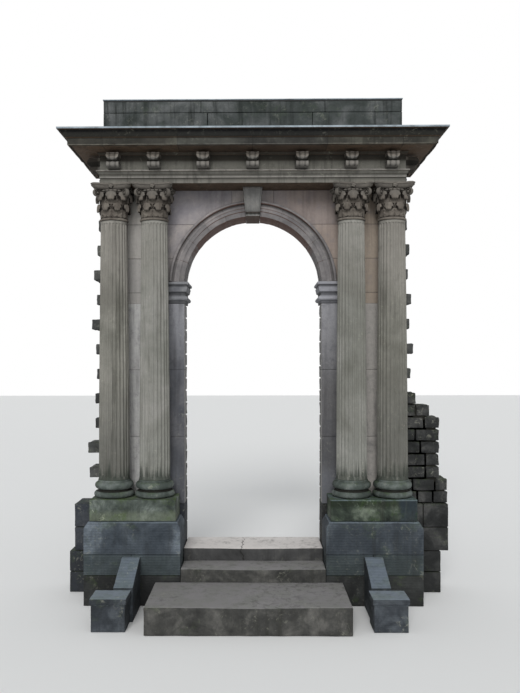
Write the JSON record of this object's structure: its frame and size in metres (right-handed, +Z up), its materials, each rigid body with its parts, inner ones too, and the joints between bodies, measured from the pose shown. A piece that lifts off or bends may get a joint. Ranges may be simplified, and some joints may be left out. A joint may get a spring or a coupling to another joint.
{
  "type": "triumphal arch",
  "caption": "Stone garden arch with paired fluted columns on pedestals, leafy capitals, a console cornice, a plain attic, broken wall ends and steps up through a round-headed archway",
  "frame": {"origin": "on the level ground in the middle of the archway, at the middle of the wall's thickness", "axes": "+X to the right seen from the columned front, +Y through the archway to the rear, +Z up"},
  "size_m": [4.9, 2.481, 6.255],
  "materials": {
    "ashlar": "weathered dressed stone",
    "slate_grey_stone": "tooled grey stone with moss",
    "wall_stone": "smooth dressed wall stone",
    "rough_stone": "rough broken stone",
    "pale_stone": "worn pale step stone",
    "dark_stone": "blackened damp stone",
    "metal_cover": "dull weathered sheet"
  },
  "bodies": {
    "root": {"left_impost": "ashlar", "right_impost": "ashlar", "left_archivolt": "ashlar", "right_archivolt": "ashlar", "keystone": "ashlar", "left_outer_shaft": "ashlar", "left_inner_shaft": "ashlar", "right_inner_shaft": "ashlar", "right_outer_shaft": "ashlar", "left_outer_capital": "ashlar", "left_inner_capital": "ashlar", "right_inner_capital": "ashlar", "right_outer_capital": "ashlar", "architrave": "ashlar", "frieze": "ashlar", "front_consoles": "ashlar", "side_consoles": "ashlar", "rear_consoles": "ashlar", "left_cheek_coping": "slate_grey_stone", "left_cheek_block": "slate_grey_stone", "right_cheek_coping": "slate_grey_stone", "right_cheek_block": "slate_grey_stone", "left_pedestal": "slate_grey_stone", "right_pedestal": "slate_grey_stone", "left_base_plinth": "slate_grey_stone", "right_base_plinth": "slate_grey_stone", "left_outer_base": "slate_grey_stone", "left_inner_base": "slate_grey_stone", "right_inner_base": "slate_grey_stone", "right_outer_base": "slate_grey_stone", "attic": "slate_grey_stone", "left_pier": "wall_stone", "right_pier": "wall_stone", "left_spandrel": "wall_stone", "right_spandrel": "wall_stone", "left_wall_plinth": "rough_stone", "right_wall_plinth": "rough_stone", "left_toothing": "rough_stone", "right_toothing": "rough_stone", "right_wall_stub": "rough_stone", "threshold_slab": "pale_stone", "middle_step": "pale_stone", "landing_slab": "pale_stone", "left_footing": "dark_stone", "right_footing": "dark_stone", "cornice": "dark_stone", "cornice_flashing": "metal_cover", "attic_coping": "metal_cover"}
  },
  "joints": []
}
